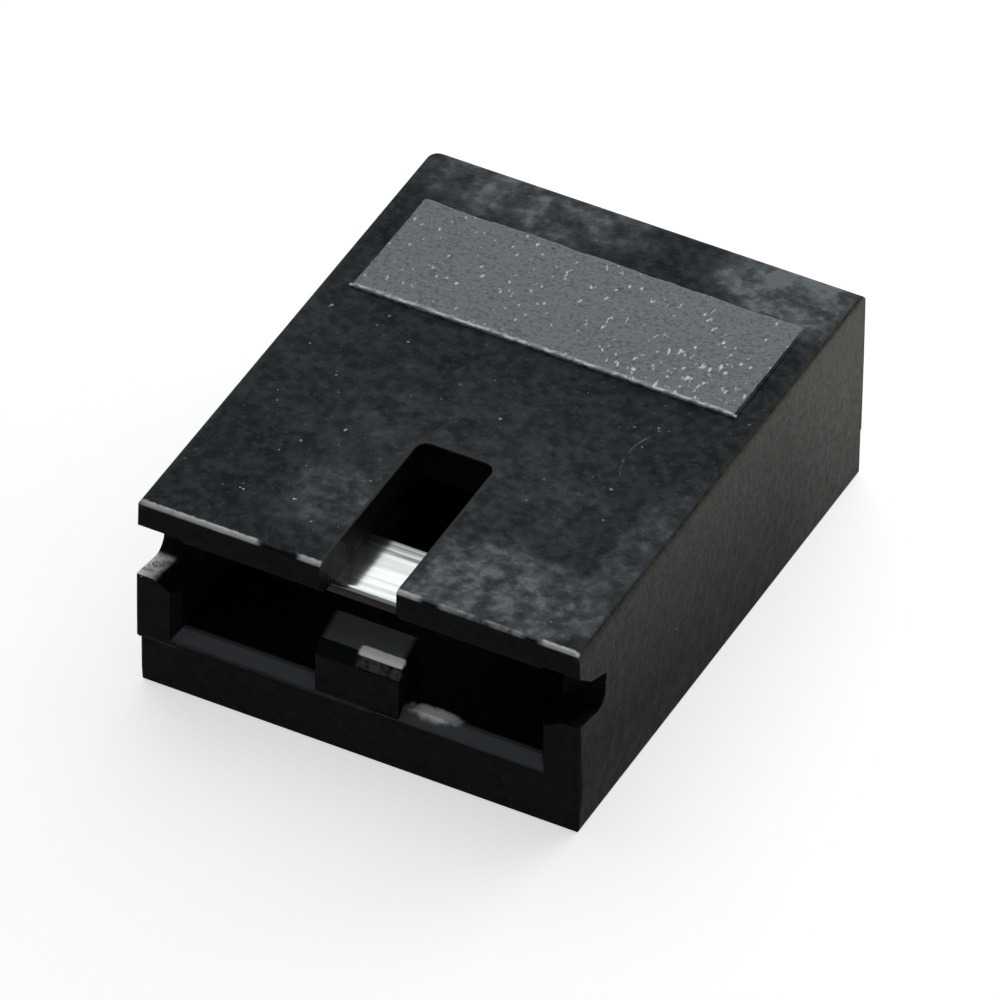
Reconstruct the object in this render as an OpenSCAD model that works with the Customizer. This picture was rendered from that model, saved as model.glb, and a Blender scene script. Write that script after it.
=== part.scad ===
// Two-position jumper shunt for 2.54 mm pin headers, lying on its broad face.
// X runs across the two positions, Y from the mouth to the closed back, Z up.
// The origin is the middle of the face that it lies on. Depths are measured
// back from the frontmost edge of the mouth. All lengths are in millimetres.

/* [Housing] */
// Width across the two positions, at the parting line
body_w = 5.06; // [4.9:0.02:5.08]
// Depth from mouth to closed back, at the parting line
body_d = 6.46; // [6.3:0.02:6.8]
// Height of the top face
body_h = 2.38; // [2.34:0.02:2.5]
// Height of the mould's parting line
parting_z = 0.61; // [0.5:0.01:0.64]

/* [Corners and edges] */
// Radius of the back left corner, seen from above
back_left_r = 0.34; // [0.1:0.02:0.5]
// Radius of the back right corner, seen from above
back_right_r = 0.12; // [0.06:0.02:0.5]
// Radius of the front left corner, seen from above
front_left_r = 0.05; // [0.02:0.01:0.1]
// Radius of the front right corner, seen from above
front_right_r = 0.1; // [0.02:0.01:0.16]
// Radius of the top face's left and front edges
top_edge_r = 0.04; // [0.02:0.01:0.1]
// Radius of the top face's right and back edges, which are worn rounder
worn_edge_r = 0.1; // [0.02:0.01:0.16]

/* [Mouth] */
// Height of the lower lip at the mouth
lip_low_z = 0.69; // [0.66:0.01:0.72]
// Height of the upper lip's under edge at the mouth
lip_high_z = 2.07; // [2.03:0.01:2.1]
// Height of the cavity floor
floor_z = 0.8; // [0.74:0.01:0.84]
// Height of the cavity ceiling
ceiling_z = 1.93; // [1.9:0.01:1.96]
// Width of the cavity
cavity_w = 4.1; // [4.06:0.02:4.2]
// Depth of the cavity
cavity_d = 5.95; // [5.85:0.05:6.05]
// Depth of the lead-in round the mouth
lead_in = 0.13; // [0.08:0.01:0.16]

/* [Top face] */
// Width of the probe slot
slot_w = 0.87; // [0.7:0.01:1]
// Length of the probe slot, open at the mouth
slot_len = 2.21; // [1.6:0.01:2.6]
// Width of the raised pad
pad_w = 4.44; // [3:0.04:4.6]
// Depth at which the raised pad starts
pad_start = 4.02; // [3:0.02:4.2]
// Length of the raised pad
pad_len = 1.64; // [1:0.02:1.8]
// Rise of the pad at its front edge
pad_rise = 0.024; // [0.01:0.002:0.05]

/* [Divider and corner notches] */
// Width of the divider block between the two positions
divider_w = 0.95; // [0.7:0.01:1.1]
// Depth of the divider block
divider_d = 0.46; // [0.4:0.01:0.6]
// Height of the divider block at its back
divider_z = 1.44; // [1.38:0.01:1.5]
// Height of the sill in each corner notch, at its front
notch_z = 1.42; // [1.36:0.01:1.5]
// Depth of each corner notch
notch_d = 0.61; // [0.5:0.01:0.7]

/* [Contact] */
// Thickness of the contact's sheet
sheet_t = 0.13; // [0.1:0.01:0.15]
// Distance between the two positions
pitch = 2.54; // [2.54:0.01:2.54]
// Side of the square pin that the contact grips
pin = 0.64; // [0.64:0.01:0.64]
// How much less than the pin the free gap between the beams is
grip = 0.14; // [0.04:0.01:0.2]
// Width of each beam
beam_w = 1; // [0.8:0.02:1.04]
// Width of the contact's sheet
contact_w = 3.7; // [3.6:0.02:3.8]
// Depth of the front strap's cut edge
strap_start = 0.3; // [0.26:0.01:0.4]
// Length of the front strap
strap_len = 0.86; // [0.6:0.02:1]

/* [Hidden] */

front_y = -body_d / 2;
mid_z = (floor_z + ceiling_z) / 2;

// The mould opens both ways from the parting line, so each half tapers away,
// and its lower half sits a little to the right of the upper one
step_in = 0.02;
base_in = 0.04;
top_in = 0.03;
mould_shift = 0.02;
base_edge_r = 0.03;

// Side walls of the mouth flare over the lead-in, behind a narrow level land
flare = 0.08;
mouth_land = 0.02;
cavity_corner_r = 0.1;
slot_corner_r = 0.13;

// Side view of a corner notch: roof under the lip, then round to a dipping sill.
// The cut reaches a little way into the cavity
notch_roof_z = 1.72;
notch_overlap = 0.02;
notch_land = 0.05;
notch_brow = [0.28, 1.85];
notch_back = notch_d - 0.04;
notch_dip = 0.1;
notch_r = 0.16;
// The outer part of the sill is level, and the rest falls into the mouth
sill_w = 0.2;
sill_drop = 0.16;

// Divider's side view: upright face, bevel, then a gentle rise
divider_face_z = 1.18;
divider_bevel = [0.1, 1.34];

// Height of the pad at its back edge
pad_tail = 0.004;

// How far the divider and the pad are sunk into the walls that carry them
divider_root = 0.2;
pad_root = 0.1;

// Contact: sheet folded at the back, beams bowed towards each other
bend_r = (ceiling_z - floor_z) / 2;
bend_y = 5.22;
web_start = 4.6;
lower_tip = 1.6;
bow = (ceiling_z - floor_z - 2 * sheet_t - (pin - grip)) / 2;
bow_steps = 20;
strap_edge_r = 0.07;
barb_y = [4.72, 5.02];
barb_rise = 0.12;
bend_facets = 64;

// Steps in each rounded corner, and how far a cut runs past what it cuts
arc_steps = 6;
over = 1;

function unit(v) = v / norm(v);
function short_turn(a) = a > 180 ? a - 360 : a < -180 ? a + 360 : a;

// Arc that rounds the corner p, between its neighbours a and b
function corner_arc(p, a, b, r) =
    let (
        u = unit(a - p),
        v = unit(b - p),
        half = acos(u * v) / 2,
        c = p + unit(u + v) * r / sin(half),
        s = p + u * r / tan(half) - c,
        e = p + v * r / tan(half) - c,
        from = atan2(s.y, s.x),
        turn = short_turn(atan2(e.y, e.x) - from)
    )
    [for (i = [0 : arc_steps]) c + r * [cos(from + turn * i / arc_steps), sin(from + turn * i / arc_steps)]];

// Outline through corners [x, y, radius]
function rounded(pts) =
    let (n = len(pts))
    [for (i = [0 : n - 1])
        let (q = pts[i], a = pts[(i + n - 1) % n], b = pts[(i + 1) % n], p = [q.x, q.y])
        each q[2] == 0 ? [p] : corner_arc(p, [a.x, a.y], [b.x, b.y], q[2])];

// Outline drawn as [x, z], running back from the front to a depth
module along_y(pts, depth) {
    translate([0, front_y + depth, 0]) rotate([90, 0, 0]) linear_extrude(depth + over) polygon(pts);
}

// Outline drawn as [depth, z], running across a width
module along_x(pts, w) {
    translate([-w / 2, front_y, 0]) rotate([90, 0, 90]) linear_extrude(w) polygon(pts);
}

// Outline drawn as [x, depth], running upwards between two heights
module along_z(pts, z0, z1) {
    translate([0, front_y, z0]) linear_extrude(z1 - z0) polygon(pts);
}

// One half of the mould: it tapers from in0 at z0 to in1 at z1. Its lower edges
// have radius r0. Its upper edges have radius r1, and r1_worn at the right and back
module tapered_half(in0, in1, z0, z1, r0, r1, r1_worn) {
    hw = body_w / 2;
    wide = min(in0, in1);
    intersection() {
        along_y(rounded([
            [-hw + in0, z0, r0], [hw - in0, z0, r0],
            [hw - in1, z1, r1_worn], [-hw + in1, z1, r1]
        ]), body_d + over);
        along_x(rounded([
            [in0, z0, r0], [body_d - in0, z0, r0],
            [body_d - in1, z1, r1_worn], [in1, z1, r1]
        ]), body_w + 2 * over);
        along_z(rounded([
            [-hw + wide, wide, front_left_r], [hw - wide, wide, front_right_r],
            [hw - wide, body_d - wide, back_right_r], [-hw + wide, body_d - wide, back_left_r]
        ]), z0, z1);
    }
}

module block() {
    translate([mould_shift, 0, 0]) tapered_half(base_in, step_in, 0, parting_z, base_edge_r, 0, 0);
    tapered_half(0, top_in, parting_z, body_h, 0, top_edge_r, worn_edge_r);
}

// Blind cavity with a lead-in on all four sides of the mouth
module cavity() {
    hw = cavity_w / 2;
    intersection() {
        along_x(rounded([
            [-over, lip_low_z, 0], [mouth_land, lip_low_z, 0], [lead_in, floor_z, 0],
            [cavity_d, floor_z, cavity_corner_r], [cavity_d, ceiling_z, cavity_corner_r],
            [lead_in, ceiling_z, 0], [mouth_land, lip_high_z, 0], [-over, lip_high_z, 0]
        ]), body_w);
        along_z(rounded([
            [-hw - flare, -over, 0], [hw + flare, -over, 0], [hw + flare, mouth_land, 0],
            [hw, lead_in, 0], [hw, cavity_d, cavity_corner_r],
            [-hw, cavity_d, cavity_corner_r], [-hw, lead_in, 0], [-hw - flare, mouth_land, 0]
        ]), 0, body_h);
    }
}

// Slot through the top wall, for a test probe
module probe_slot() {
    hw = slot_w / 2;
    along_z(rounded([
        [-hw, -over, 0], [hw, -over, 0],
        [hw, slot_len, slot_corner_r], [-hw, slot_len, slot_corner_r]
    ]), mid_z, body_h + over);
}

// Side wall cut away under the lip, at both front corners
module corner_notches() {
    inner = cavity_w / 2 - notch_overlap;
    outer = body_w / 2 - sill_w;
    wall = body_w / 2 + over - inner;
    for (side = [0, 1]) mirror([side, 0, 0]) {
        translate([inner + wall / 2, 0, 0]) along_x(rounded([
            [-over, notch_z, 0], [notch_land, notch_z, 0],
            [notch_back, notch_z - notch_dip, notch_r], [notch_d, notch_roof_z, 0],
            [notch_brow.x, notch_brow.y, 0], [mouth_land, lip_high_z, 0], [-over, lip_high_z, 0]
        ]), wall);
        along_y([
            [inner, notch_z - sill_drop], [outer, notch_z], [outer, notch_roof_z], [inner, notch_roof_z]
        ], notch_back);
    }
}

// Block on the lower lip that keeps the two pins apart
module divider() {
    along_x([
        [step_in, floor_z - divider_root], [divider_d, floor_z - divider_root],
        [divider_d, divider_z], [step_in + divider_bevel.x, divider_bevel.y],
        [step_in, divider_face_z]
    ], divider_w);
}

// Raised pad, highest along its front edge and level with the top at its back
module pad() {
    along_x([
        [pad_start, body_h - pad_root], [pad_start + pad_len, body_h - pad_root],
        [pad_start + pad_len, body_h + pad_tail], [pad_start, body_h + pad_rise]
    ], pad_w);
}

module housing() {
    color("#26282b") union() {
        difference() {
            block();
            cavity();
            probe_slot();
            corner_notches();
        }
        divider();
        pad();
    }
}

// Upper leaf's beam, seen from the side, from one depth to another
function beam_outline(from, to) =
    let (dip = [for (i = [0 : bow_steps]) [i / bow_steps, bow * (1 - cos(360 * i / bow_steps)) / 2]])
    concat(
        [for (d = dip) [from + (to - from) * d[0], ceiling_z - d[1]]],
        [for (i = [bow_steps : -1 : 0]) [from + (to - from) * dip[i][0], ceiling_z - sheet_t - dip[i][1]]]
    );

module leaf_beams(from) {
    for (side = [-1, 1])
        translate([side * pitch / 2, 0, 0]) along_x(beam_outline(from, web_start), beam_w);
}

// Web between the beams at the back, with a barb on each side that holds the clip
module leaf_web() {
    hw = contact_w / 2;
    along_z([
        [-hw, web_start], [hw, web_start], [hw, barb_y[0]],
        [cavity_w / 2, barb_y[0] + barb_rise], [cavity_w / 2, barb_y[0] + 2 * barb_rise], [hw, barb_y[1]],
        [hw, bend_y], [-hw, bend_y], [-hw, barb_y[1]],
        [-cavity_w / 2, barb_y[0] + 2 * barb_rise], [-cavity_w / 2, barb_y[0] + barb_rise], [-hw, barb_y[0]]
    ], ceiling_z - sheet_t, ceiling_z);
}

// Strap that joins the upper beams at the mouth and shows in the probe slot
module front_strap() {
    along_x(rounded([
        [strap_start, ceiling_z - sheet_t, 0], [strap_start + strap_len, ceiling_z - sheet_t, 0],
        [strap_start + strap_len, ceiling_z, 0], [strap_start, ceiling_z, strap_edge_r]
    ]), contact_w);
}

module back_bend() {
    translate([-contact_w / 2, front_y + bend_y, mid_z]) rotate([0, 90, 0])
        difference() {
            cylinder(h = contact_w, r = bend_r, $fn = bend_facets);
            translate([0, 0, -over])
                cylinder(h = contact_w + 2 * over, r = bend_r - sheet_t, $fn = bend_facets);
            translate([-over, -2 * over, -over]) cube([2 * over, 2 * over, contact_w + 2 * over]);
        }
}

module contact() {
    color("#c9c6bd") union() {
        front_strap();
        leaf_beams(strap_start + strap_len);
        leaf_web();
        back_bend();
        translate([0, 0, 2 * mid_z]) mirror([0, 0, 1]) {
            leaf_beams(lower_tip);
            leaf_web();
        }
    }
}

housing();
contact();
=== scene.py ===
"""Finish, light and camera for a two-position jumper shunt.

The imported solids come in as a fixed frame, in metres: X across the two
positions, Y from the mouth to the closed back, Z up. Shapes are built here in
millimetres, in the same axes, and are scaled down once, when they are done.
Depths are measured back from the frontmost edge of the mouth.
"""

import logging
import math
from dataclasses import dataclass, field
from enum import Enum
from typing import Callable, Sequence, Union

import bmesh
import bpy
from mathutils import Matrix, Vector


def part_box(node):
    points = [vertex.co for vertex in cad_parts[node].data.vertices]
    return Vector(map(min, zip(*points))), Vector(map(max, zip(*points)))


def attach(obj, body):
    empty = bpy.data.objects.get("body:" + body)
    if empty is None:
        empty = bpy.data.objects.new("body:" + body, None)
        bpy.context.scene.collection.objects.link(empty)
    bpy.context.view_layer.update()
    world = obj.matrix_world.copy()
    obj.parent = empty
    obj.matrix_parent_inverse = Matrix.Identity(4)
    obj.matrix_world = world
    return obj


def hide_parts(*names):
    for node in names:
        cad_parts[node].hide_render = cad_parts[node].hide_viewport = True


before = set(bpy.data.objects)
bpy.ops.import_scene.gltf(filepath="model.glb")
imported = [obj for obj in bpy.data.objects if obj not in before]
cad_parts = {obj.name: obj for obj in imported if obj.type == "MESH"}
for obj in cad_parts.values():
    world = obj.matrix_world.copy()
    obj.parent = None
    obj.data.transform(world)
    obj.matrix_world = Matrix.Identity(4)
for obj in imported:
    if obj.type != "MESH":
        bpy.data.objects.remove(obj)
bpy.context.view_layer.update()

log = logging.getLogger("jumper_shunt")

MM = 0.001
BODY = "root"

Triple = tuple[float, float, float]
Colour = Triple
Number = Union[int, float]
Span = tuple[float, float]

HOUSING_LOW, HOUSING_HIGH = (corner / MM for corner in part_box("housing"))
FRONT = HOUSING_LOW.y


@dataclass(frozen=True)
class Plan:
    """Where the housing's features are, in millimetres, as its source has them."""

    pad_rise: float = 0.024
    pad_tail: float = 0.004
    pad_half: float = 2.22
    pad: Span = (4.02, 5.66)
    slot_half: float = 0.435
    slot_back: float = 2.21
    cavity_half: float = 2.05
    parting: float = 0.61
    lower_edge: float = 0.69
    floor: float = 0.8
    divider_half: float = 0.475
    divider_front: float = 0.12
    divider_back: float = 0.46
    sill: float = 1.42
    top_in: float = 0.03

    @property
    def top(self) -> float:
        """Return the height of the top face."""
        return HOUSING_HIGH.z - self.pad_rise

    @property
    def half(self) -> float:
        """Return half the width of the top face."""
        return HOUSING_HIGH.x - self.top_in

    @property
    def back(self) -> float:
        """Return the depth of the top face's back edge."""
        return HOUSING_HIGH.y - FRONT - self.top_in


PLAN = Plan()


@dataclass(frozen=True)
class HazeAndSheen:
    """A soft patch of the top face that is painted paler: partly fine dust and rubbing, partly painted
    sheen.
    """

    x: float
    depth: float
    size: Span
    weight: float


@dataclass(frozen=True)
class Marks:
    """Where wear and painted light mark the housing, in millimetres."""

    haze_and_sheen_patches: tuple[HazeAndSheen, ...] = (
        HazeAndSheen(1.3, 0.5, (1.4, 0.9), 1.35),
        HazeAndSheen(2.3, 0.4, (0.5, 0.5), 0.1),
        HazeAndSheen(2.4, 1.6, (0.5, 1.5), 0.55),
        HazeAndSheen(-0.7, 0.95, (0.9, 0.8), 0.45),
        HazeAndSheen(0.1, 2.7, (2.4, 1.1), 0.14),
        HazeAndSheen(1.0, 1.7, (1.2, 1.2), 0.2),
        HazeAndSheen(-0.8, 1.8, (1.2, 1.2), 0.15),
        HazeAndSheen(-2.2, 3.2, (0.8, 1.6), 0.1),
        HazeAndSheen(1.95, 6.1, (1.3, 0.75), 1.8),
        HazeAndSheen(-1.2, 6.15, (1.8, 0.7), 0.95),
    )
    # Where the upper lip's front edge has scuffs and painted highlights.
    lip_scuffs_and_highlights: tuple[Span, ...] = (
        (-2.42, -1.62),
        (-1.55, -1.2),
        (-0.62, -0.43),
        (0.43, 0.62),
        (2.12, 2.48),
    )
    lip_rubs_and_highlights: tuple[Span, ...] = ((0.95, 1.25), (1.45, 1.8))
    nicks: tuple[Span, ...] = ((-2.25, 3.65), (-1.12, 0.8), (-1.68, 0.68), (-1.18, 1.98), (1.62, 3.5))
    scratch_middle: Span = (2.2, 3.02)
    scratch_radius: float = 0.7
    scratch_depth: Span = (2.75, 3.35)
    scratch_half: float = 0.009
    bevel_x: Span = (0.0, 0.46)
    bevel_depth: Span = (0.02, 0.1)
    bevel_z: Span = (1.2, 1.34)
    # Where the divider's ridge carries a painted highlight.
    ridge_x: Span = (0.02, 0.44)
    ridge_depth: Span = (0.1, 0.17)
    ridge_z: Span = (1.31, 1.42)
    sill_x: Span = (-2.36, -2.28)
    sill_back: float = 0.42
    sill_z: Span = (1.28, 1.46)
    chip_middle: Span = (0.82, 0.17)
    chip_size: Span = (0.42, 0.13)
    chip_z: Span = (0.72, 0.82)
    # Where the divider's top is painted lighter as a lit ledge.
    divider_top_z: Span = (1.34, 1.46)
    # Where the slanting patch of painted light lies on the slot's left wall.
    wall_light_x: Span = (-0.5, -0.38)
    wall_light_depth: Span = (0.0, 0.45)
    wall_light_slant: float = 0.83
    wall_light_low: float = 1.9
    # Where the painted shade inside the housing starts and ends in depth.
    dark_from: float = 0.75
    dark_short_of_back: float = 0.33


MARKS = Marks()


# ------------------------------------------------------------------ node trees


@dataclass(frozen=True)
class Signal:
    """One output socket of a node tree, with Python's operators on it."""

    tree: bpy.types.NodeTree
    socket: bpy.types.NodeSocket

    def math(self, operation: str, *others: "Term", first: "Term | None" = None) -> "Signal":
        """Add a Math node.

        Args:
            operation: the Math node's operation.
            others: the terms after this one.
            first: a term that goes before this one, for the reflected forms.

        Returns:
            The node's result.
        """
        terms: list[Term] = [self, *others] if first is None else [first, self]
        node = self.tree.nodes.new("ShaderNodeMath")
        node.operation = operation
        for socket, term in zip(node.inputs, terms):
            feed(self.tree, socket, term)
        return Signal(self.tree, node.outputs[0])

    def __add__(self, other: "Term") -> "Signal":
        """Return the sum."""
        return self.math("ADD", other)

    __radd__ = __add__

    def __sub__(self, other: "Term") -> "Signal":
        """Return the difference."""
        return self.math("SUBTRACT", other)

    def __rsub__(self, other: "Term") -> "Signal":
        """Return the difference, with this signal taken away."""
        return self.math("SUBTRACT", first=other)

    def __mul__(self, other: "Term") -> "Signal":
        """Return the product."""
        return self.math("MULTIPLY", other)

    __rmul__ = __mul__

    def __truediv__(self, other: "Term") -> "Signal":
        """Return the quotient."""
        return self.math("DIVIDE", other)

    def __pow__(self, other: "Term") -> "Signal":
        """Return this signal raised to a power."""
        return self.math("POWER", other)

    def __gt__(self, other: "Term") -> "Signal":
        """Return 1 where this signal is greater, else 0."""
        return self.math("GREATER_THAN", other)

    def __lt__(self, other: "Term") -> "Signal":
        """Return 1 where this signal is less, else 0."""
        return self.math("LESS_THAN", other)

    def __abs__(self) -> "Signal":
        """Return the size of this signal."""
        return self.math("ABSOLUTE")

    def floor_at(self, other: "Term") -> "Signal":
        """Return the greater of the two."""
        return self.math("MAXIMUM", other)

    def cap_at(self, other: "Term") -> "Signal":
        """Return the lesser of the two."""
        return self.math("MINIMUM", other)


Term = Union[Signal, Number, str, Sequence[Number], bpy.types.Material]
Inputs = dict[Union[int, str], Term]
Sizes = dict[str, Union[Number, Triple]]


def feed(tree: bpy.types.NodeTree, socket: bpy.types.NodeSocket, term: Term) -> None:
    """Link a signal to a socket, or set the socket's own value.

    Args:
        tree: the node tree.
        socket: the input to fill.
        term: a signal, a number, a vector, a choice or a material.
    """
    if isinstance(term, Signal):
        tree.links.new(term.socket, socket)
    elif isinstance(term, (int, float, str, bpy.types.Material)):
        socket.default_value = term
    else:
        size = len(socket.default_value)
        socket.default_value = [*term, 1.0][:size]


class Wiring:
    """A node tree under construction."""

    def __init__(self, tree: bpy.types.NodeTree) -> None:
        """Start with an empty tree."""
        self.tree = tree
        tree.nodes.clear()

    def node(
        self,
        kind: str,
        settings: dict[str, object] | None = None,
        values: Inputs | None = None,
    ) -> bpy.types.Node:
        """Add any node.

        Args:
            kind: the node's type.
            settings: its own settings, set first.
            values: what its sockets hold, by name or index.

        Returns:
            The new node.
        """
        made = self.tree.nodes.new(kind)
        for key, value in (settings or {}).items():
            setattr(made, key, value)
        for key, term in (values or {}).items():
            feed(self.tree, made.inputs[key], term)
        return made

    def add(
        self,
        kind: str,
        settings: dict[str, object] | None = None,
        values: Inputs | None = None,
        out: Union[int, str] = 0,
    ) -> Signal:
        """Add any node and return one of its outputs as a signal."""
        return Signal(self.tree, self.node(kind, settings, values).outputs[out])

    def ramp(self, signal: Signal, low: float, high: float) -> Signal:
        """Return 0 where a signal is at low and 1 where it is at high, with a smooth rise."""
        settings = {"interpolation_type": "SMOOTHSTEP"}
        return self.add("ShaderNodeMapRange", settings, {"Value": signal, "From Min": low, "From Max": high})

    def between(self, signal: Signal, span: Span, soft: float) -> Signal:
        """Return 1 inside a span, fading to 0 over a soft edge outside it."""
        return self.ramp(signal, span[0] - soft, span[0]) * self.ramp(signal, span[1] + soft, span[1])


class Paint(Wiring):
    """A material under construction, with its place in millimetres and its facing."""

    def __init__(self, name: str) -> None:
        """Start an empty material.

        Args:
            name: the material's name.
        """
        self.material = bpy.data.materials.new(name)
        self.material.use_nodes = True
        super().__init__(self.material.node_tree)
        self.output = self.node("ShaderNodeOutputMaterial")
        coords = self.add("ShaderNodeTexCoord", out="Object")
        self.place = self.add("ShaderNodeVectorMath", {"operation": "SCALE"}, {0: coords, "Scale": 1 / MM})
        split = self.node("ShaderNodeSeparateXYZ", values={0: self.place})
        self.x, self.y, self.z = (Signal(self.tree, out) for out in split.outputs)
        self.depth = self.y - FRONT
        normal = self.add("ShaderNodeNewGeometry", out="Normal")
        facing = self.node("ShaderNodeSeparateXYZ", values={0: normal})
        self.facing_x, self.facing_y, self.facing_z = (Signal(self.tree, out) for out in facing.outputs)

    def noise(
        self,
        per_mm: float,
        detail: float = 2.0,
        stretch: Triple = (1, 1, 1),
        seed: float = 0.0,
    ) -> Signal:
        """Add a noise pattern.

        Args:
            per_mm: features in each millimetre.
            detail: octaves.
            stretch: scale along each axis, before the pattern's own.
            seed: shifts the pattern.

        Returns:
            The pattern, from 0 to 1.
        """
        values: Inputs = {"Vector": self.place, "Location": (seed, 0.7 * seed, -seed), "Scale": stretch}
        where = self.add("ShaderNodeMapping", values=values)
        return self.add("ShaderNodeTexNoise", values={"Vector": where, "Scale": per_mm, "Detail": detail})

    def patch(self, x: float, depth: float, size: Span, soft: float = 0.6) -> Signal:
        """Return 1 inside an ellipse on the plan, fading to 0 at its edge.

        Args:
            x: its middle.
            depth: its middle's depth.
            size: its two radii.
            soft: the share of the radius over which it fades.

        Returns:
            The mask.
        """
        across = (self.x - x) / size[0]
        along = (self.depth - depth) / size[1]
        return self.ramp(across * across + along * along, 1.0, 1.0 - soft)

    def arc(self, x: float, depth: float, radius: float, span: Span, width: float) -> Signal:
        """Return 1 on a thin arc on the plan.

        Args:
            x: the centre.
            depth: the centre's depth.
            radius: the arc's radius.
            span: the depths between which it runs.
            width: half its width.

        Returns:
            The mask.
        """
        across, along = self.x - x, self.depth - depth
        off = abs((across * across + along * along) ** 0.5 - radius)
        side = self.x < x
        return self.ramp(off, width, 0.3 * width) * self.between(self.depth, span, 0.1) * side

    def box(self, x: Span, depth: Span, z: Span, soft: Triple) -> Signal:
        """Return 1 inside a box, fading to 0 over its soft edges.

        Args:
            x: where it runs across the positions.
            depth: where it runs in depth.
            z: where it runs in height.
            soft: how far it fades along each of the three.

        Returns:
            The mask.
        """
        mask = self.between(self.x, x, soft[0]) * self.between(self.depth, depth, soft[1])
        return mask * self.between(self.z, z, soft[2])

    def mix(self, mask: Term, a: Term, b: Term) -> Signal:
        """Return colour a where the mask is 0 and colour b where it is 1."""
        return self.add("ShaderNodeMix", {"data_type": "RGBA"}, {0: mask, 6: a, 7: b}, out=2)

    def bump(self, height: Signal, depth_mm: float, under: Signal | None = None) -> Signal:
        """Return a normal that follows a height pattern of the given depth."""
        values: Inputs = {"Height": height, "Distance": depth_mm * MM, "Strength": 1.0}
        if under is not None:
            values["Normal"] = under
        return self.add("ShaderNodeBump", values=values)

    def finish(self, values: Inputs) -> bpy.types.Material:
        """End the tree in one Principled shader that holds the given values."""
        shader = self.add("ShaderNodeBsdfPrincipled", values=values)
        feed(self.tree, self.output.inputs["Surface"], shader)
        return self.material


class Recipe(Wiring):
    """A Geometry Nodes tree under construction, with named inputs."""

    SOCKETS = {float: "NodeSocketFloat", int: "NodeSocketInt", tuple: "NodeSocketVector"}

    def __init__(self, name: str, sizes: Sizes, material: bpy.types.Material) -> None:
        """Start a tree with its inputs.

        Args:
            name: the tree's name.
            sizes: each named input and the value that it gets.
            material: what the result is made of.
        """
        super().__init__(bpy.data.node_groups.new(name, "GeometryNodeTree"))
        self.sizes = sizes
        self.material = material
        self.tree.interface.new_socket("Geometry", in_out="INPUT", socket_type="NodeSocketGeometry")
        for key, value in sizes.items():
            self.tree.interface.new_socket(key, in_out="INPUT", socket_type=self.SOCKETS[type(value)])
        self.tree.interface.new_socket("Geometry", in_out="OUTPUT", socket_type="NodeSocketGeometry")
        source = self.node("NodeGroupInput")
        self.start = Signal(self.tree, source.outputs["Geometry"])
        self.given = {key: Signal(self.tree, source.outputs[key]) for key in sizes}

    def noise(self, per_mm: Term, seed: Term = 0.0, detail: float = 1.0) -> Signal:
        """Return a noise pattern over the points' places."""
        settings = {"noise_dimensions": "4D"}
        return self.add("ShaderNodeTexNoise", settings, {"W": seed, "Scale": per_mm, "Detail": detail})

    def random(self, low: Term, high: Term, seed: int) -> Signal:
        """Return a random number for each point, from low to high."""
        values: Inputs = {2: low, 3: high, "Seed": seed}
        return self.add("FunctionNodeRandomValue", {"data_type": "FLOAT"}, values, out=1)

    def vector(self, x: Term = 0.0, y: Term = 0.0, z: Term = 0.0) -> Signal:
        """Return a vector made of three terms."""
        return self.add("ShaderNodeCombineXYZ", values={0: x, 1: y, 2: z})

    def grown(self, start: bpy.types.Mesh | None = None) -> bpy.types.Mesh:
        """Run the finished tree.

        Args:
            start: the mesh that it starts from, in millimetres, or None.

        Returns:
            The result, in millimetres.
        """

        def dress(holder: bpy.types.Object) -> None:
            """Add the tree as a modifier and set its inputs."""
            modifier = holder.modifiers.new(self.tree.name, "NODES")
            modifier.node_group = self.tree
            for item in self.tree.interface.items_tree:
                if item.in_out == "INPUT" and item.name in self.sizes:
                    modifier[item.identifier] = self.sizes[item.name]

        return evaluated(start or bpy.data.meshes.new("seed"), dress)

    def end(self, geometry: Signal) -> None:
        """Realize the instances, set the material and close the tree."""
        real = self.add("GeometryNodeRealizeInstances", values={"Geometry": geometry})
        made = self.add("GeometryNodeSetMaterial", values={"Geometry": real, "Material": self.material})
        sink = self.node("NodeGroupOutput")
        feed(self.tree, sink.inputs["Geometry"], made)


# ---------------------------------------------------------------------- meshes


def piece_from(name: str, mesh: bpy.types.Mesh, material: bpy.types.Material) -> bpy.types.Object:
    """Put a finished mesh, built in millimetres, on the part's body.

    Args:
        name: the piece's name.
        mesh: its mesh, in millimetres.
        material: its material.

    Returns:
        The piece.
    """
    mesh.name = name
    mesh.transform(Matrix.Scale(MM, 4))
    mesh.materials.clear()
    mesh.materials.append(material)
    piece = bpy.data.objects.new(name, mesh)
    bpy.context.scene.collection.objects.link(piece)
    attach(piece, BODY)
    log.info("%s: %d faces", name, len(mesh.polygons))
    return piece


def merged_copy(node: str) -> bpy.types.Mesh:
    """Return a CAD node's mesh in millimetres, with its loose triangles joined into whole faces."""
    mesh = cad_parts[node].data.copy()
    mesh.transform(Matrix.Scale(1 / MM, 4))
    shape = bmesh.new()
    shape.from_mesh(mesh)
    bmesh.ops.remove_doubles(shape, verts=shape.verts, dist=0.0005)
    bmesh.ops.dissolve_limit(shape, angle_limit=math.radians(0.5), verts=shape.verts, edges=shape.edges)
    shape.to_mesh(mesh)
    shape.free()
    return mesh


def evaluated(mesh: bpy.types.Mesh, dress: Callable[[bpy.types.Object], None]) -> bpy.types.Mesh:
    """Return what a mesh becomes under modifiers.

    Args:
        mesh: the mesh to start from, which is used up.
        dress: adds the modifiers to an object that holds it.

    Returns:
        A plain mesh.
    """
    holder = bpy.data.objects.new("holder", mesh)
    bpy.context.scene.collection.objects.link(holder)
    dress(holder)
    graph = bpy.context.evaluated_depsgraph_get()
    result = bpy.data.meshes.new_from_object(holder.evaluated_get(graph))
    bpy.data.objects.remove(holder)
    bpy.data.meshes.remove(mesh)
    return result


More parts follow.
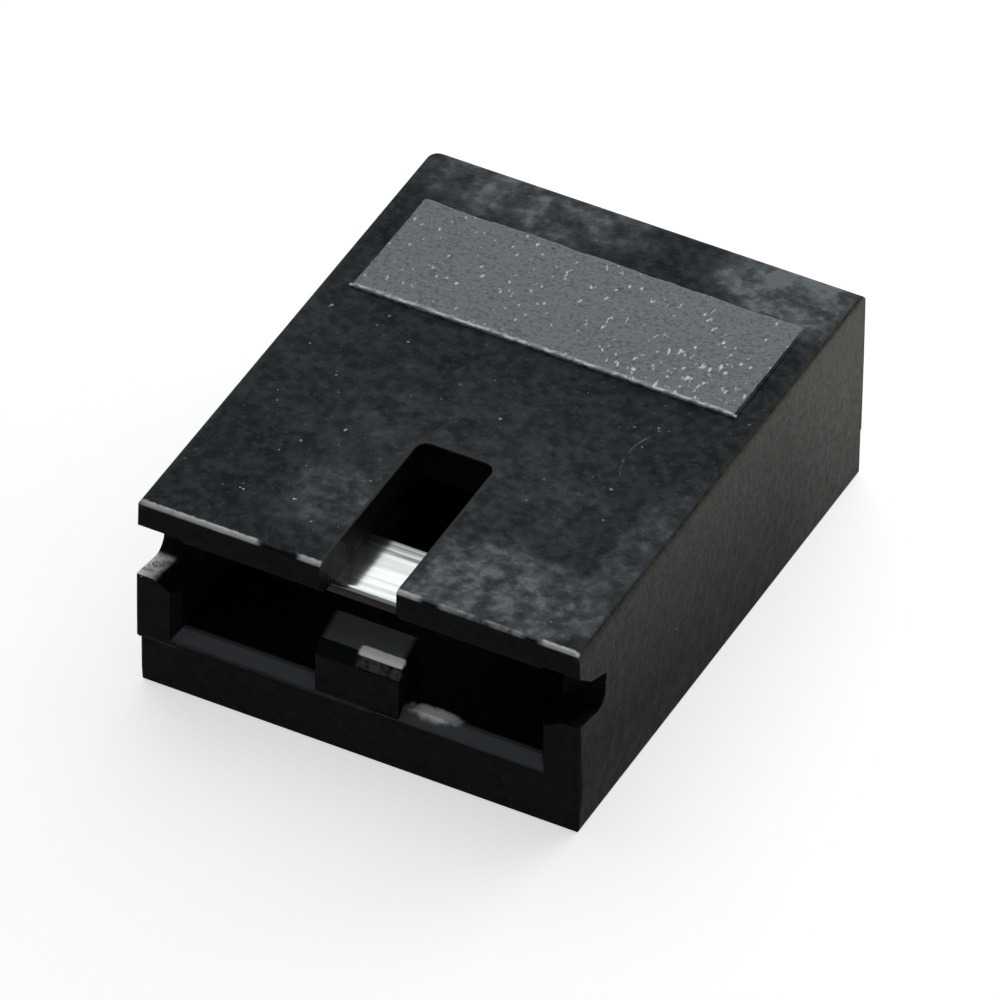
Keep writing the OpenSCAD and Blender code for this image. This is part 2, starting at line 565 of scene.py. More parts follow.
def soften_edges(mesh: bpy.types.Mesh, width: float, least_turn: float) -> bpy.types.Mesh:
    """Round a mesh's edges and shade it smooth, with its flat faces kept flat.

    Args:
        mesh: the mesh, in millimetres.
        width: the bevel's width, in millimetres.
        least_turn: the smallest turn between faces that is rounded, in degrees.

    Returns:
        The rounded mesh.
    """

    def dress(holder: bpy.types.Object) -> None:
        """Add a Bevel and a Weighted Normal."""
        bevel = holder.modifiers.new("edges", "BEVEL")
        bevel.width = width
        bevel.segments = 3
        bevel.limit_method = "ANGLE"
        bevel.angle_limit = math.radians(least_turn)
        bevel.use_clamp_overlap = True
        flat = holder.modifiers.new("flat faces", "WEIGHTED_NORMAL")
        flat.keep_sharp = True
        flat.weight = 100

    mesh.shade_smooth()
    return evaluated(mesh, dress)


# --------------------------------------------------------------------- housing


@dataclass(frozen=True)
class MouldedFinish:
    """Black moulded polyester: dark mottled walls; painted sheen in mottled blue-grey on top, a painted
    reflection on the right wall, painted highlights on edges and ledges and painted shade deep inside; with
    dust, rubbing and scuffs.
    """

    dark: Colour = (0.0028, 0.0031, 0.0032)
    light: Colour = (0.0065, 0.0072, 0.0074)
    # Painted sheen: the top face is painted a lighter mottled blue-grey, standing in for the light it
    # reflects.
    top_sheen_dark: Colour = (0.0085, 0.0112, 0.0128)
    top_sheen_light: Colour = (0.0345, 0.04, 0.0435)
    # Partly dust and rubbing, partly painted sheen: the pale colour of the top face's cloudy patches.
    haze_and_sheen: Colour = (0.17, 0.188, 0.203)
    # Painted light: the grey of the lit patch on the slot's wall and of the lit ledges.
    painted_light_grey: Colour = (0.098, 0.109, 0.119)
    # Painted reflection: the pale colour of the right wall.
    sheen: Colour = (0.105, 0.106, 0.095)
    # Partly rubbing, partly painted highlight: the pale colour of the edge lines.
    rim_wear_and_highlight: Colour = (0.05, 0.049, 0.042)
    # Partly scuffs and a scratch, partly painted highlights and reflection: the pale colour of these marks.
    scuff_and_highlight: Colour = (0.66, 0.66, 0.64)
    # Partly fresh chipping, partly painted highlight: the near-white of these marks.
    knock_and_glint: Colour = (0.95, 0.95, 0.93)
    # Painted shade: the near-black deep inside the cavity, the slot and the notches.
    pit_and_painted_shade: Colour = (0.008, 0.008, 0.008)
    roughness: float = 0.42
    gloss: float = 0.04

    def material(self) -> bpy.types.Material:
        """Return the material."""
        paint = Paint("moulded_black")
        top = paint.ramp(paint.z, PLAN.top - 0.03, PLAN.top - 0.01) * paint.ramp(paint.facing_z, 0.5, 0.9)
        mottle = self._mottle(paint)
        colour = paint.mix(mottle, self.dark, self.light)
        # Painted sheen: up-facing parts of the top face take the lighter blue-grey colours.
        colour = paint.mix(top, colour, paint.mix(mottle, self.top_sheen_dark, self.top_sheen_light))
        # Partly dust and rubbing, partly painted sheen: pale patches on the top face.
        colour = paint.mix(self._haze_and_sheen(paint) * top, colour, self.haze_and_sheen)
        # Painted reflection: the right wall is painted paler towards the top and the back.
        colour = paint.mix(self._sheen(paint), colour, self.sheen)
        # Partly rubbing and the parting line, partly painted highlights along the edges.
        colour = paint.mix(self._rim_wear_and_highlights(paint), colour, self.rim_wear_and_highlight)
        # Painted light: the lit patch on the slot's left wall and the lit ledges.
        colour = paint.mix(self._painted_wall_light(paint).floor_at(self._painted_ledge_light(paint)), colour, self.painted_light_grey)
        colour = paint.mix(self._scuffs_and_highlights(paint), colour, self.scuff_and_highlight)
        colour = paint.mix(self._knocks_and_glints(paint), colour, self.knock_and_glint)
        # Painted shade: deep inside the cavity, the slot and the notches are painted near-black.
        colour = paint.mix(self._painted_recess_shade(paint), colour, self.pit_and_painted_shade)
        grain = paint.bump(paint.noise(22, 4), 0.009)
        swell = paint.bump(paint.noise(4.5, 3, seed=5), 0.01, under=grain)
        dull = self.roughness + 0.3 * paint.noise(6, 4, seed=2)
        values: Inputs = {
            "Base Color": colour,
            "Roughness": dull,
            "Specular IOR Level": self.gloss,
            "Normal": swell,
        }
        return paint.finish(values)

    def _mottle(self, paint: Paint) -> Signal:
        """Return the body's mottling: broad clouds broken by fine ones."""
        broad = paint.ramp(paint.noise(2.1, 4), 0.3, 0.7)
        fine = paint.ramp(paint.noise(8.5, 5, seed=12), 0.38, 0.64)
        return 0.35 * broad + 0.65 * fine

    def _haze_and_sheen(self, paint: Paint) -> Signal:
        """Return where the top face is painted paler: partly fine dust and rubbing, partly painted sheen."""
        patches = (paint.patch(haze_and_sheen.x, haze_and_sheen.depth, haze_and_sheen.size, 1.0) * haze_and_sheen.weight for haze_and_sheen in MARKS.haze_and_sheen_patches)
        blotch_mask = sum(patches, 0.0)
        cloud = paint.ramp(paint.noise(3.4, 6, seed=3), 0.38, 0.66)
        stipple = paint.ramp(paint.noise(8, 5, seed=16), 0.42, 0.66)
        dust = paint.ramp(paint.noise(16, 3, seed=7), 0.58, 0.74)
        broken = 0.12 + 0.38 * cloud + 0.5 * stipple * (0.4 + cloud)
        return (blotch_mask * broken + dust * 0.18 + 0.02 * cloud).cap_at(1.0)

    def _sheen(self, paint: Paint) -> Signal:
        """Return the painted reflection on the right wall, paler at the top and towards the back."""
        wall = paint.ramp(paint.facing_x, 0.7, 0.9) * paint.ramp(paint.x, PLAN.half - 0.15, PLAN.half - 0.05)
        rise = 0.3 * paint.z + 0.08 * paint.depth - 0.3 + 0.3 * paint.ramp(paint.depth, 4.2, 6.0)
        speckle = paint.ramp(paint.noise(14, 4, seed=15), 0.35, 0.65)
        return wall * rise.floor_at(0.02).cap_at(1.0) * (0.8 + 0.4 * speckle)

    def _rim_wear_and_highlights(self, paint: Paint) -> Signal:
        """Return the paler lines on the outer edges, round the slot and on the lower lip: partly rubbing and
        the parting line, partly painted highlights along the edges.
        """
        blotch_mask = paint.ramp(paint.noise(6, 4, seed=9), 0.35, 0.6)
        edge = paint.ramp(abs(paint.x), PLAN.half - 0.1, PLAN.half - 0.02)
        behind = paint.ramp(paint.depth, PLAN.back - 0.1, PLAN.back - 0.02)
        outer = edge.floor_at(behind) * paint.between(paint.z, (PLAN.top - 0.04, PLAN.top - 0.01), 0.1)
        outer = outer * (1.0 - paint.ramp(paint.facing_x, 0.8, 0.95))
        beside = paint.ramp(abs(paint.x), PLAN.slot_half + 0.04, PLAN.slot_half + 0.01)
        before = paint.ramp(paint.depth, PLAN.slot_back + 0.04, PLAN.slot_back + 0.01)
        slot = beside * before * paint.ramp(paint.z, PLAN.top - 0.03, PLAN.top - 0.01) * 1.6
        mouth = paint.between(paint.z, (PLAN.lower_edge - 0.02, PLAN.lower_edge + 0.015), 0.012)
        mouth = mouth * paint.between(paint.x, (-PLAN.cavity_half, 0.1), 0.1)
        mouth = mouth * paint.ramp(paint.depth, 0.06, 0.04)
        parting = paint.between(paint.z, (PLAN.parting, PLAN.parting + 0.02), 0.01)
        parting = parting * paint.ramp(paint.x, -2.0, -2.1)
        lines = (mouth + parting) * 0.8 + slot
        return (outer * (0.2 + 0.5 * blotch_mask) + lines * (0.45 + 0.55 * blotch_mask)).cap_at(1.0)

    def _scuffs_and_highlights(self, paint: Paint) -> Signal:
        """Return the pale marks on the upper lip, the divider's bevel, the pad's front edge and the top:
        scuffs and a scratch, with painted highlights on the lip and the pad's edge and a painted reflection
        on the bevel.
        """
        facets = self._facets(paint)
        # Painted reflection: the divider's bevel face is painted paler where it reflects the light.
        bevel = paint.box(MARKS.bevel_x, MARKS.bevel_depth, MARKS.bevel_z, (0.06, 0.02, 0.01))
        bevel = bevel * facets * 0.12
        x, depth = MARKS.scratch_middle
        scratch = paint.arc(x, depth, MARKS.scratch_radius, MARKS.scratch_depth, MARKS.scratch_half)
        scratch = scratch * paint.ramp(paint.noise(9, 2, seed=6), 0.35, 0.6)
        # Painted highlight along the pad's front edge.
        pad = paint.ramp(abs(paint.x), PLAN.pad_half + 0.01, PLAN.pad_half)
        pad = pad * paint.ramp(paint.z, PLAN.top, PLAN.top + 0.004)
        pad = pad * paint.ramp(paint.depth, PLAN.pad[0] + 0.04, PLAN.pad[0] + 0.02)
        pad = pad * (0.2 + 0.8 * facets)
        return (self._lip_scuffs_and_highlights(paint) + bevel + scratch * 0.22 + pad * 0.9).cap_at(1.0)

    def _facets(self, paint: Paint) -> Signal:
        """Return the small facets that break up a knocked place and some painted highlights."""
        return paint.ramp(paint.noise(12, 4, seed=4), 0.3, 0.6)

    def _lip_scuffs_and_highlights(self, paint: Paint) -> Signal:
        """Return the scuffs and painted highlights along the upper lip's front edge."""
        ragged = paint.noise(16, 3, seed=13) * 0.05
        front = paint.ramp(paint.depth + ragged, 0.115, 0.085)
        front = front * paint.ramp(paint.z, PLAN.top - 0.05, PLAN.top - 0.02)
        # Scuffs and painted highlights along the lip's edge.
        spans = sum((paint.between(paint.x, span, 0.15) for span in MARKS.lip_rubs_and_highlights), 0.12) * 0.5
        spans = spans + sum((paint.between(paint.x, span, 0.15) for span in MARKS.lip_scuffs_and_highlights), 0.0) * 0.9
        return front * self._broken(paint, spans)

    def _broken(self, paint: Paint, mask: Signal) -> Signal:
        """Return a mask with its edge broken up, as a knock leaves a scuff; it breaks up the painted
        highlights too.
        """
        return mask * paint.ramp(mask + 1.6 * paint.noise(11, 5, seed=11), 0.95, 1.75)

    def _knocks_and_glints(self, paint: Paint) -> Signal:
        """Return the fresh pale chipping on the notch's sill, and the painted highlights on the divider's
        ridge and on a flake on the lower lip.
        """
        facets = self._facets(paint)
        outer, inner = MARKS.sill_x
        sill = paint.ramp(paint.x, inner, outer) * paint.between(paint.z, MARKS.sill_z, 0.03)
        sill = sill * paint.ramp(paint.depth, MARKS.sill_back + 0.08, MARKS.sill_back)
        sill = sill * paint.ramp(paint.facing_z, 0.3, 0.6)
        # Painted highlight along the divider's ridge.
        ridge = paint.box(MARKS.ridge_x, MARKS.ridge_depth, MARKS.ridge_z, (0.08, 0.04, 0.02))
        # A small flake on the lower lip, with a painted highlight on it.
        chip = paint.patch(*MARKS.chip_middle, MARKS.chip_size, 1.0)
        chip = chip * paint.between(paint.z, MARKS.chip_z, 0.02)
        ridge_and_chip_glints = self._broken(paint, ridge * 1.2) + self._broken(paint, chip)
        return (sill * (0.45 + 0.55 * facets) + ridge_and_chip_glints).cap_at(1.0)

    def _painted_ledge_light(self, paint: Paint) -> Signal:
        """Return the divider's top and the lower lip's lead-in, which are painted lighter as lit ledges,
        like the top face.
        """
        # Painted light on the divider's top and the lower lip's lead-in.
        level = paint.ramp(paint.facing_z, 0.7, 0.9) * paint.between(paint.z, MARKS.divider_top_z, 0.02)
        span = (PLAN.divider_front, PLAN.divider_back)
        divider = paint.between(paint.depth, span, 0.02)
        divider = divider * paint.ramp(abs(paint.x), PLAN.divider_half + 0.01, 0.4)
        lead_in = paint.between(paint.z, (PLAN.lower_edge, PLAN.floor), 0.01)
        lead_in = lead_in * paint.ramp(paint.facing_z, 0.3, 0.6)
        return level * divider + lead_in * paint.ramp(paint.depth, 0.2, 0.16)

    def _painted_wall_light(self, paint: Paint) -> Signal:
        """Return the slanting patch of painted light on the slot's left wall, where light reflected from the
        contact falls.
        """
        slant = paint.depth - (PLAN.top - paint.z) * MARKS.wall_light_slant
        wall = paint.ramp(paint.facing_x, 0.6, 0.9) * paint.between(paint.x, MARKS.wall_light_x, 0.02)
        blotch_mask = wall * paint.between(slant, MARKS.wall_light_depth, 0.03)
        return blotch_mask * paint.ramp(paint.z, MARKS.wall_light_low, MARKS.wall_light_low + 0.05) * 0.28

    def _painted_recess_shade(self, paint: Paint) -> Signal:
        """Return 1 deep inside the cavity, the slot and the notches, where no dust gets: painted shade
        darkens them there.
        """
        inside = paint.between(paint.x, (-PLAN.cavity_half, PLAN.cavity_half), 0.15)
        level = paint.between(paint.z, (PLAN.floor + 0.1, PLAN.top - 0.2), 0.12)
        span = (MARKS.dark_from, PLAN.back - MARKS.dark_short_of_back)
        return inside * level * paint.between(paint.depth, span, 0.3)


@dataclass(frozen=True)
class PadFinish:
    """Spark-eroded grain: a pale grey crust with painted highlights on bright facets and along its front
    edge, and shallow pits.
    """

    crust: Colour = (0.195, 0.207, 0.222)
    # The colour of the grain's own pits.
    pit_and_painted_shade: Colour = (0.108, 0.116, 0.127)
    # Painted highlight: the near-white of the grain's lit facets.
    facet_glint: Colour = (0.8, 0.8, 0.79)
    glint_middle: Span = (1.5, 4.4)
    glint_size: Span = (1.2, 0.7)

    def material(self) -> bpy.types.Material:
        """Return the material."""
        paint = Paint("eroded_grain")
        cloud = paint.noise(3, 3, seed=4)
        colour = paint.mix(paint.ramp(paint.noise(26, 3, seed=1), 0.34, 0.52), self.pit_and_painted_shade, self.crust)
        colour = paint.mix(cloud * 0.35, colour, self.pit_and_painted_shade)
        # Painted highlights: the brightest facets are painted near-white, more of them in one patch.
        facets = paint.noise(17, 2, (1.0, 0.5, 1.0), seed=8) + cloud * 0.08
        facets = facets + paint.patch(*self.glint_middle, self.glint_size, 1.0) * 0.06
        colour = paint.mix(paint.ramp(facets, 0.7, 0.77) * 0.85, colour, self.facet_glint)
        # Painted highlight along the pad's front edge.
        ragged = paint.ramp(paint.noise(9, 4, seed=6), 0.38, 0.6)
        edge = paint.ramp(paint.depth + 0.03 * ragged, PLAN.pad[0] + 0.075, PLAN.pad[0] + 0.05)
        colour = paint.mix(edge * (0.15 + 0.75 * ragged), colour, self.facet_glint)
        bump = paint.bump(paint.noise(34, 3, seed=2), 0.008)
        values: Inputs = {
            "Base Color": colour,
            "Roughness": 0.5,
            "Specular IOR Level": 0.3,
            "Normal": bump,
        }
        return paint.finish(values)


@dataclass(frozen=True)
class DustFinish:
    """Pale plastic dust."""

    name: str = "pale_dust"
    pale: Colour = (0.3, 0.3, 0.29)
    grey: Colour = (0.1, 0.1, 0.105)

    def material(self) -> bpy.types.Material:
        """Return the material."""
        paint = Paint(self.name)
        colour = paint.mix(paint.ramp(paint.noise(6, 2), 0.4, 0.6), self.grey, self.pale)
        return paint.finish({"Base Color": colour, "Roughness": 0.8, "Specular IOR Level": 0.2})


@dataclass(frozen=True)
class ChipFinish(DustFinish):
    """Freshly knocked plastic, paler than dust."""

    name: str = "knocked_plastic"
    pale: Colour = (0.72, 0.72, 0.7)
    grey: Colour = (0.3, 0.3, 0.3)


@dataclass
class RaisedPad:
    """The raised pad's skin, a closed slab whose top has the eroded grain."""

    cell: float = 0.016
    skirt: float = 0.03
    relief: float = 0.016
    grains_per_mm: float = 15.0
    seed: float = 3.0

    def mesh(self, material: bpy.types.Material) -> bpy.types.Mesh:
        """Return the slab, in millimetres."""
        width, length = 2 * PLAN.pad_half, PLAN.pad[1] - PLAN.pad[0]
        sizes = {
            "Slab": (width, length, self.skirt),
            "Columns": int(width / self.cell),
            "Rows": int(length / self.cell),
            "Relief": self.relief,
            "Grains per mm": self.grains_per_mm,
            "Seed": self.seed,
        }
        recipe = Recipe("eroded_slab", sizes, material)
        given = recipe.given
        values: Inputs = {
            "Size": given["Slab"],
            "Vertices X": given["Columns"],
            "Vertices Y": given["Rows"],
            "Vertices Z": 2,
        }
        slab = recipe.add("GeometryNodeMeshCube", values=values)
        place = recipe.node("ShaderNodeSeparateXYZ", values={0: recipe.add("GeometryNodeInputPosition")})
        x, y, z = (Signal(recipe.tree, out) for out in place.outputs)
        top = z > 0.0
        grains = recipe.noise(given["Grains per mm"], given["Seed"], 2.0)
        wander = (recipe.noise(1.8, given["Seed"] + 4.0) - 0.5) * 0.1
        inset = (width / 2 - abs(x) + 0.3 * wander).cap_at(length / 2 - y + wander)
        fade = recipe.ramp(inset, 0.0, 0.06)
        tilt = (y / length - 0.5) * (PLAN.pad_rise - PLAN.pad_tail)
        lift = top * (grains * given["Relief"] * fade - tilt - (1.0 - fade) * self.skirt / 2)
        offset = recipe.vector(z=lift)
        moved = recipe.add("GeometryNodeSetPosition", values={"Geometry": slab, "Offset": offset})
        recipe.end(recipe.add("GeometryNodeSetShadeSmooth", values={"Geometry": moved}))
        mesh = recipe.grown()
        rest = PLAN.top + PLAN.pad_tail - self.skirt / 2
        mesh.transform(Matrix.Translation((0, FRONT + (PLAN.pad[0] + PLAN.pad[1]) / 2, rest)))
        return mesh


class Facing(Enum):
    """Which way a dusty patch faces, as the turn about Y, in degrees, that lays a level patch on it."""

    UP = 0.0
    RIGHT = 89.0

    def turn(self) -> Matrix:
        """Return the patch's turn."""
        return Matrix.Rotation(math.radians(self.value), 4, "Y")


@dataclass(frozen=True)
class DustPatch:
    """A flat patch that dust or chips lie on."""

    middle: Triple
    size: Span
    facing: Facing = Facing.UP

    def corners(self) -> list[Vector]:
        """Return the patch's corners, in millimetres."""
        w, h = self.size[0] / 2, self.size[1] / 2
        place = Matrix.Translation(self.middle) @ self.facing.turn()
        flat = ((-w, -h, 0), (w, -h, 0), (w, h, 0), (-w, h, 0))
        return [place @ Vector(corner) for corner in flat]


@dataclass(frozen=True)
class Dust:
    """Flat flecks scattered over patches."""

    name: str
    patches: tuple[DustPatch, ...]
    per_mm2: float
    radius: Span
    seed: int
    thickness: float = 0.35
    clumping: float = 0.5

    def mesh(self, material: bpy.types.Material) -> bpy.types.Mesh:
        """Return the flecks, in millimetres."""
        sizes = {
            "Flecks per mm2": self.per_mm2,
            "Smallest": self.radius[0],
            "Largest": self.radius[1],
            "Thickness": self.thickness,
            "Clumping": self.clumping,
            "Seed": self.seed,
        }
        recipe = Recipe(self.name, sizes, material)
        given = recipe.given
        clump = recipe.ramp(recipe.noise(1.3, 2.0), 0.4, 0.6)
        density = given["Flecks per mm2"] * (1.0 - given["Clumping"] + given["Clumping"] * 2.0 * clump)
        scatter = recipe.node(
            "GeometryNodeDistributePointsOnFaces",
            values={"Mesh": recipe.start, "Density": density, "Seed": given["Seed"]},
        )
        points = Signal(recipe.tree, scatter.outputs["Points"])
        upright = Signal(recipe.tree, scatter.outputs["Rotation"])
        fleck = recipe.add("GeometryNodeMeshIcoSphere", values={"Radius": 1.0, "Subdivisions": 2})
        rough = (recipe.noise(1.1, given["Seed"], 2.0) - 0.5) * 0.9 + 1.0
        place = recipe.add("GeometryNodeInputPosition")
        lumpy = recipe.add("ShaderNodeVectorMath", {"operation": "SCALE"}, {0: place, "Scale": rough})
        fleck = recipe.add("GeometryNodeSetPosition", values={"Geometry": fleck, "Position": lumpy})
        spin = recipe.vector(z=recipe.random(0.0, math.tau, 1))
        turn = recipe.add("FunctionNodeRotateRotation", {"rotation_space": "LOCAL"}, {0: upright, 1: spin})
        share = recipe.random(0.0, 1.0, 2) ** 3.0
        radius = given["Smallest"] + (given["Largest"] - given["Smallest"]) * share
        slim = recipe.random(0.35, 1.0, 3)
        scale = recipe.vector(radius, radius * slim, radius * given["Thickness"])
        placed = recipe.add(
            "GeometryNodeInstanceOnPoints",
            values={"Points": points, "Instance": fleck, "Rotation": turn, "Scale": scale},
        )
        recipe.end(placed)
        return recipe.grown(self._ground())

    def _ground(self) -> bpy.types.Mesh:
        """Return the patches as one mesh."""
        mesh = bpy.data.meshes.new(self.name)
        corners = [corner for patch in self.patches for corner in patch.corners()]
        faces = [tuple(range(4 * i, 4 * i + 4)) for i in range(len(self.patches))]
        mesh.from_pydata(corners, [], faces)
        return mesh


@dataclass
class Housing:
    """The moulded housing, its eroded pad and the dust on it."""

    edge: float = 0.018
    pad_dust_rise: float = 0.012
    finish: MouldedFinish = field(default_factory=MouldedFinish)
    pad: RaisedPad = field(default_factory=RaisedPad)

    def build(self) -> None:
        """Make the housing's pieces."""
        mesh = soften_edges(merged_copy("housing"), self.edge, 30)
        shell = piece_from("moulded_housing", mesh, self.finish.material())
        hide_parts("housing")
        grain = PadFinish().material()
        piece_from("eroded_pad", self.pad.mesh(grain), grain)
        pale, bright = DustFinish().material(), ChipFinish().material()
        for dust in self.dust():
            piece_from(dust.name, dust.mesh(pale), pale)
        for chips in self.chips():
            piece_from(chips.name, chips.mesh(bright), bright)

    def dust(self) -> list[Dust]:
        """Return the dust that lies on the housing."""
        top, margin = PLAN.top, 0.1
        side_w = PLAN.half - PLAN.slot_half - margin
        side_x = (PLAN.half + PLAN.slot_half) / 2
        side_y = FRONT + (PLAN.slot_back + margin) / 2
        middle_w = 2 * PLAN.half - 0.15
        middle_len = PLAN.pad[0] - PLAN.slot_back - margin
        middle_y = FRONT + PLAN.slot_back + margin + middle_len / 2
        field_patches = (
            DustPatch((-side_x, side_y, top), (side_w, PLAN.slot_back)),
            DustPatch((side_x, side_y, top), (side_w, PLAN.slot_back)),
            DustPatch((0, middle_y, top), (middle_w, middle_len)),
        )
        back_patch = DustPatch((0, FRONT + (PLAN.pad[1] + PLAN.back) / 2, top), (4.7, 0.6))
        pad_y = FRONT + (PLAN.pad[0] + PLAN.pad[1]) / 2
        pad_patch = DustPatch((0, pad_y, top + self.pad_dust_rise), (4.3, 1.5))
        right = DustPatch((PLAN.half + PLAN.top_in / 2, FRONT + 3.3, 1.5), (1.5, 5.6), Facing.RIGHT)
        return [
            Dust("top_dust", field_patches, 11.0, (0.004, 0.022), 11),
            Dust("back_dust", (back_patch,), 7.0, (0.004, 0.014), 5),
            Dust("pad_dust", (pad_patch,), 4.0, (0.008, 0.03), 8),
            Dust("side_dust", (right,), 7.0, (0.004, 0.011), 6),
        ]

    def chips(self) -> list[Dust]:
        """Return the burrs and chips that blows have raised on the notch's sill, the lip and the top."""
        sill = DustPatch((-2.41, FRONT + 0.22, PLAN.sill - 0.02), (0.2, 0.4))
        burr_y, burr_z = FRONT + 0.06, PLAN.top - 0.014
        burrs = tuple(DustPatch(((a + b) / 2, burr_y, burr_z), (b - a, 0.04)) for a, b in MARKS.lip_scuffs_and_highlights)
        nicks = tuple(DustPatch((x, FRONT + depth, PLAN.top), (0.05, 0.05)) for x, depth in MARKS.nicks)
        return [
            Dust("sill_chips", (sill,), 200.0, (0.012, 0.035), 3, thickness=0.5, clumping=0.0),
            Dust("lip_burrs", burrs, 300.0, (0.007, 0.022), 9, thickness=0.6, clumping=0.0),
            Dust("top_nicks", nicks, 900.0, (0.01, 0.024), 4, thickness=0.4, clumping=0.0),
        ]


# --------------------------------------------------------------------- contact


@dataclass(frozen=True)
class TinFinish:
    """Bright tin plate with drawn streaks and a band of painted shade across the strap, over bronze that
    shows at the cut edges, where painted shade makes it much darker.
    """

    tin: Colour = (0.82, 0.825, 0.81)
    dull: Colour = (0.6, 0.605, 0.6)
    shaded: Colour = (0.2, 0.205, 0.205)
    # Partly the bronze's own colour, partly painted shade: the cut edges are painted much darker than bare
    # metal.
    bronze: Colour = (0.03, 0.027, 0.02)
    # Painted shade: the depths over which the strap is painted darker.
    shaded_span: Span = (0.98, 1.25)

    def material(self) -> bpy.types.Material:
        """Return the material."""
        paint = Paint("tin_plate")
        streak = paint.noise(5, 3, (0.12, 3.2, 1.0), seed=2)
        blotch_mask = paint.ramp(paint.noise(3.0, 3, (0.35, 1.6, 1.0), seed=5), 0.5, 0.7)
        colour = paint.mix(paint.ramp(streak, 0.35, 0.62), self.dull, self.tin)
        # Painted shade: a band across the strap, broken by the streaks.
        back_shade = paint.between(paint.depth, self.shaded_span, 0.08)
        back_shade = back_shade * (0.45 + 0.55 * paint.ramp(streak, 0.6, 0.4))
        colour = paint.mix(back_shade, colour, self.shaded)
        ends = paint.ramp(abs(paint.facing_y), 0.75, 0.9) * paint.ramp(paint.depth, 1.3, 1.25)
        sides = paint.ramp(abs(paint.facing_x), 0.75, 0.9)
        cut = ends.floor_at(sides)
        # The cut edges show bronze, painted much darker as shade.
        colour = paint.mix(cut, colour, self.bronze)
        rough = 0.14 + 0.14 * blotch_mask + 0.5 * cut
        bump = paint.bump(streak, 0.001)
        values: Inputs = {
            "Base Color": colour,
            "Roughness": rough,
            "Metallic": 1.0 - 0.4 * cut,
            "Normal": bump,
        }
        return paint.finish(values)


@dataclass
class Contact:
    """The folded spring contact."""

    edge: float = 0.012
    finish: TinFinish = field(default_factory=TinFinish)

    def build(self) -> None:
        """Make the contact's piece."""
        mesh = soften_edges(merged_copy("contact"), self.edge, 40)
        clip = piece_from("spring_contact", mesh, self.finish.material())
        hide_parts("contact")


# ---------------------------------------------------------------------- studio


@dataclass(frozen=True)
class Lamp:
    """A soft square lamp that looks at the part."""

    name: str
    azimuth: float
    elevation: float
    distance: float
    size: float
    watts: float
    tint: Colour = (1, 1, 1)

    def build(self) -> None:
        """Hang the lamp."""
        light = bpy.data.lights.new(self.name, "AREA")
        light.shape = "SQUARE"
        light.size = self.size
        light.energy = self.watts
        light.color = self.tint
        holder = bpy.data.objects.new(self.name, light)
        back = direction(self.azimuth, self.elevation)
        holder.location = back * self.distance
        holder.rotation_mode = "QUATERNION"
        holder.rotation_quaternion = (-back).to_track_quat("-Z", "Y")
        bpy.context.scene.collection.objects.link(holder)


def direction(azimuth: float, elevation: float) -> Vector:
    """Return the way to a point round the part; azimuth 0 is in front of the mouth, 90 on its right."""
    a, e = math.radians(azimuth), math.radians(elevation)
    return Vector((math.sin(a) * math.cos(e), -math.cos(a) * math.cos(e), math.sin(e)))


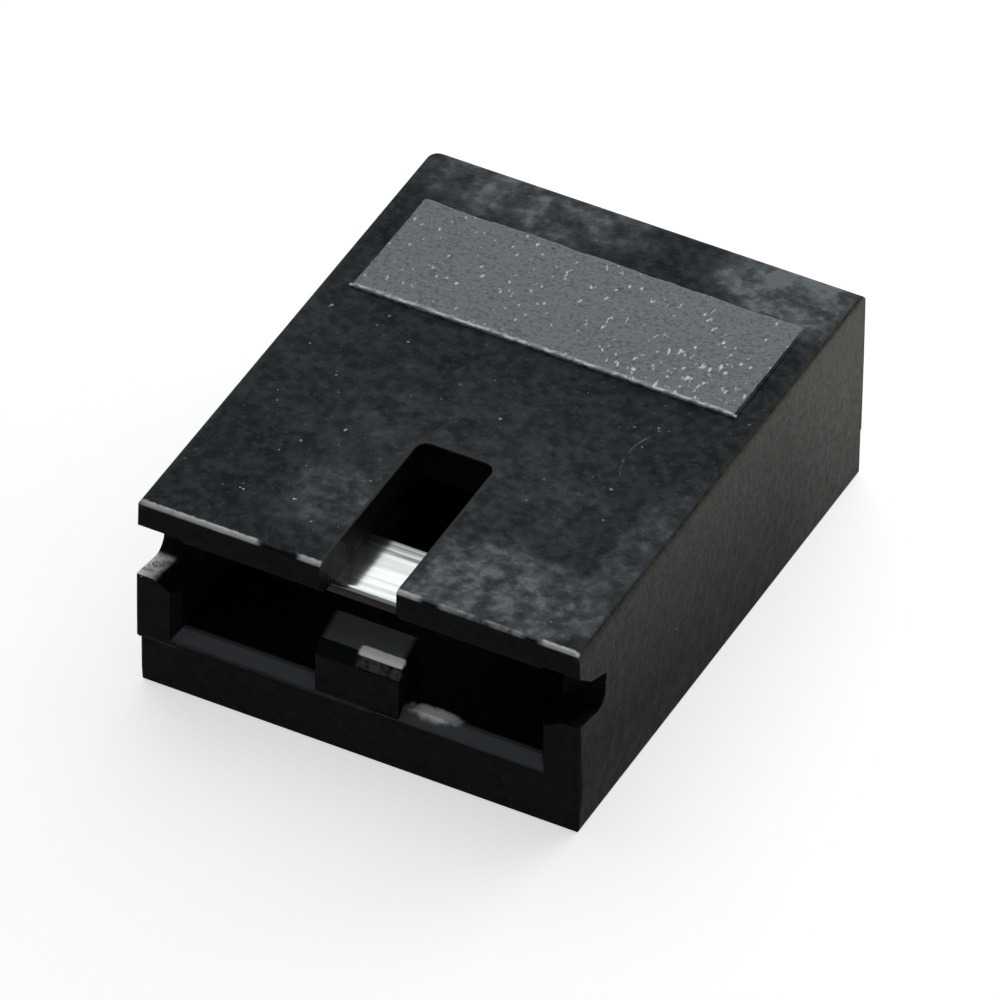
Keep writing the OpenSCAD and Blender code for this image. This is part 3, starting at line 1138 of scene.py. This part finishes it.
@dataclass
class Studio:
    """Floor, lamps and world."""

    floor_half: float = 1.5
    floor_tone: float = 0.7
    floor_lift: float = 0.6
    ambient: float = 0.2
    lamps: tuple[Lamp, ...] = (
        Lamp("back_softbox", 203, 48, 0.3, 0.5, 0.82, (0.93, 0.98, 1.0)),
        Lamp("right_fill", 150, 14, 0.02, 0.014, 0.0018, (1.0, 0.98, 0.93)),
    )

    def build(self) -> None:
        """Make the stage."""
        self._floor()
        for lamp in self.lamps:
            lamp.build()
        self._world()
        bpy.context.scene.view_settings.view_transform = "Standard"

    def _floor(self) -> None:
        """Lay a pale floor, which looks white to the eye and in reflections but keeps its shadow."""
        shape = bmesh.new()
        bmesh.ops.create_grid(shape, x_segments=1, y_segments=1, size=self.floor_half)
        mesh = bpy.data.meshes.new("floor")
        shape.to_mesh(mesh)
        shape.free()
        floor = bpy.data.objects.new("floor", mesh)
        bpy.context.scene.collection.objects.link(floor)
        paint = Paint("pale_floor")
        ray = paint.node("ShaderNodeLightPath")
        seen = Signal(paint.tree, ray.outputs["Is Camera Ray"])
        for kind in ("Is Glossy Ray", "Is Transmission Ray"):
            seen = seen.floor_at(Signal(paint.tree, ray.outputs[kind]))
        glow = paint.mix(seen, (0, 0, 0), (self.floor_lift,) * 3)
        finish: Inputs = {
            "Base Color": (self.floor_tone,) * 3,
            "Roughness": 1.0,
            "Specular IOR Level": 0.0,
            "Emission Color": glow,
            "Emission Strength": 1.0,
        }
        mesh.materials.append(paint.finish(finish))

    def _world(self) -> None:
        """Make the world plain and pale: white to the eye, dimmer as a light."""
        world = bpy.data.worlds.new("room")
        bpy.context.scene.world = world
        world.use_nodes = True
        back = world.node_tree.nodes["Background"]
        back.inputs["Color"].default_value = (1, 1, 1, 1)
        back.inputs["Strength"].default_value = self.ambient


@dataclass(frozen=True)
class Camera:
    """A long lens that looks down on the mouth's right corner."""

    azimuth: float = 26.96
    elevation: float = 40.51
    roll: float = 0.86
    distance: float = 145.06
    lens: float = 511.65
    shift: Span = (-0.00431, -0.01483)
    aim: Triple = (0.0, 0.0, 1.19)

    def build(self) -> None:
        """Make the camera."""
        data = bpy.data.cameras.new("camera")
        data.lens = self.lens
        data.sensor_width = 36
        data.shift_x, data.shift_y = self.shift
        data.clip_start, data.clip_end = 0.01, 10
        back = direction(self.azimuth, self.elevation)
        level = direction(self.azimuth + 90, 0)
        above = back.cross(level)
        turn = math.radians(self.roll)
        right = level * math.cos(turn) + above * math.sin(turn)
        up = above * math.cos(turn) - level * math.sin(turn)
        holder = bpy.data.objects.new("camera", data)
        holder.location = (Vector(self.aim) + back * self.distance) * MM
        holder.rotation_mode = "QUATERNION"
        holder.rotation_quaternion = Matrix((right, up, back)).transposed().to_quaternion()
        bpy.context.scene.collection.objects.link(holder)
        bpy.context.scene.camera = holder


def main() -> None:
    """Build the scene in order."""
    logging.basicConfig(level=logging.INFO, format="%(message)s")
    Camera().build()
    Studio().build()
    Housing().build()
    Contact().build()


if __name__ == "__main__":
    main()
